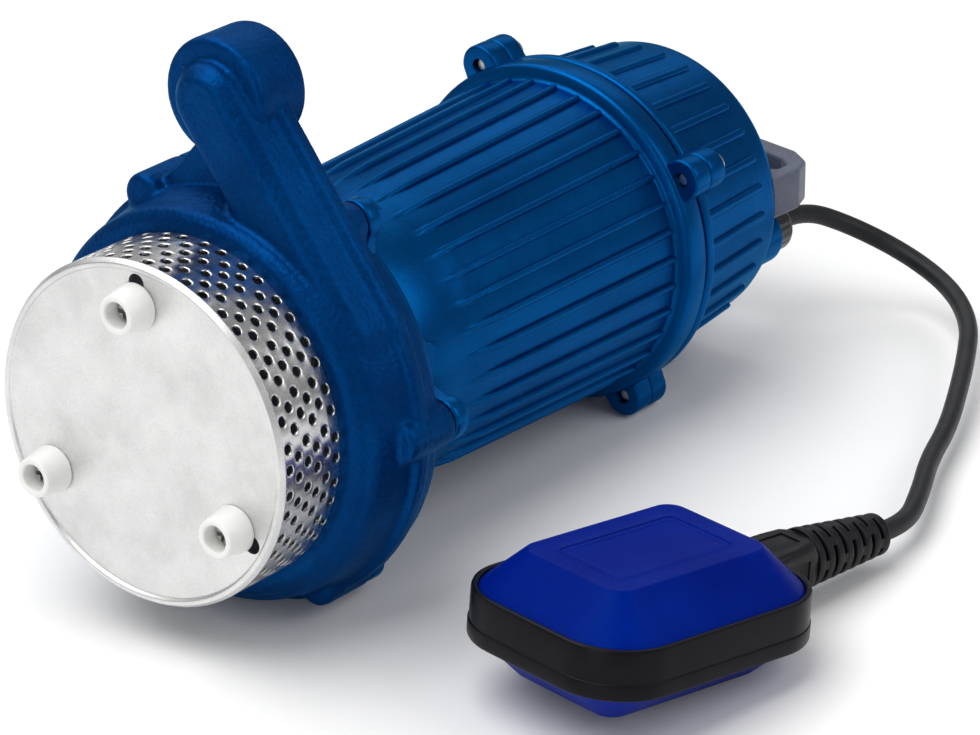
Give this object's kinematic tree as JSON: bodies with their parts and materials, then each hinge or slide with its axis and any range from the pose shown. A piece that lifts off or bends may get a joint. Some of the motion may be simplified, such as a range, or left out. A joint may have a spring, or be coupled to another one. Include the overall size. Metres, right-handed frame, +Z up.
{
  "type": "submersible sump pump",
  "caption": "Submersible sump pump lying on its side: cast volute with side discharge elbow, perforated inlet strainer on feet, ribbed motor body, carry handle, corded float switch.",
  "frame": {"origin": "on the floor under the middle of the pump's own length and width, without the float and its cord", "axes": "+Z up from the floor; +X along the pump from the inlet feet to the carry handle; -Y towards the float"},
  "size_m": [0.4179, 0.3086, 0.2234],
  "materials": {
    "pump_blue": "satin enamel over cast aluminium",
    "strainer_steel": "bright stainless sheet",
    "white_plastic": "smooth moulded",
    "screw_steel": "zinc plated",
    "cast_cover": "machined casting",
    "bright_shaft": "ground",
    "impeller_alloy": "cast",
    "seal_ceramic": "lapped ceramic",
    "seal_carbon": "carbon",
    "black_rubber": "matt",
    "core_steel": "laminated",
    "copper_winding": "varnished copper",
    "grey_case": "moulded",
    "handle_grey": "moulded nylon",
    "float_blue": "polypropylene",
    "float_black": "moulded",
    "bracket_alloy": "die cast"
  },
  "bodies": {
    "pump": {"strainer_basket": "strainer_steel", "strainer_feet": "white_plastic", "foot_screws": "screw_steel", "suction_cover": "cast_cover", "suction_cover_screws": "screw_steel", "pump_casing": "pump_blue", "casing_gasket": "black_rubber", "casing_bolts": "pump_blue", "seal_plate": "bracket_alloy", "seal_plate_screws": "screw_steel", "seal_seat": "seal_ceramic", "shaft_lip_seal": "black_rubber", "motor_housing": "pump_blue", "oil_plug": "pump_blue", "stator_core": "core_steel", "stator_winding": "copper_winding", "bearing_outer_rings": "bright_shaft", "bearing_shields": "bright_shaft", "bearing_bracket": "bracket_alloy", "cover_gasket": "black_rubber", "top_cover": "pump_blue", "cover_screws": "screw_steel", "capacitor": "grey_case", "capacitor_strap": "screw_steel", "capacitor_strap_screws": "screw_steel", "carry_handle": "handle_grey", "handle_screws": "screw_steel", "gland_nuts": "handle_grey", "cord_grommets": "black_rubber", "float_cord": "black_rubber"},
    "rotor": {"shaft": "bright_shaft", "rotor_core": "core_steel", "impeller": "impeller_alloy", "impeller_key": "screw_steel", "impeller_nut": "screw_steel", "seal_head": "seal_carbon", "seal_bellows": "black_rubber", "seal_retaining_ring": "screw_steel", "bearing_inner_rings": "bright_shaft"},
    "float": {"float_upper_shell": "float_blue", "float_lower_shell": "float_blue", "float_band": "float_black", "float_boot": "black_rubber", "weight_track": "float_black", "microswitch": "float_black"},
    "weight": {"switch_weight": "bright_shaft"},
    "lever": {"switch_lever": "bright_shaft"},
    "button": {"switch_button": "white_plastic"}
  },
  "joints": [
    {"name": "rotor_spin", "type": "hinge", "parent": "pump", "child": "rotor", "pos_m": [-0.0195, 0, 0.07823], "axis": [0.9986, 0, -0.0537], "continuous": true},
    {"name": "float_swing", "type": "hinge", "parent": "pump", "child": "float", "pos_m": [0.02429, -0.1912, 0.01249], "axis": [0.1805, 0.9836, 0], "range_deg": [0, 60], "deforming": ["float_cord"]},
    {"name": "weight_roll", "type": "slide", "parent": "float", "child": "weight", "axis": [0.9747, -0.1789, -0.134], "range_m": [-0.02, 0]},
    {"name": "lever_turn", "type": "hinge", "parent": "float", "child": "lever", "pos_m": [-0.09202, -0.16985, 0.03352], "axis": [0.1805, 0.9836, 0], "range_deg": [0, 6]},
    {"name": "button_press", "type": "slide", "parent": "float", "child": "button", "axis": [-0.1318, 0.0242, -0.991], "range_m": [0, 0.0007]}
  ],
  "couplings": [
    {"joint": "lever_turn", "follows": "weight_roll", "rad_per_m": -5.236},
    {"joint": "button_press", "follows": "weight_roll", "ratio": -0.035}
  ]
}
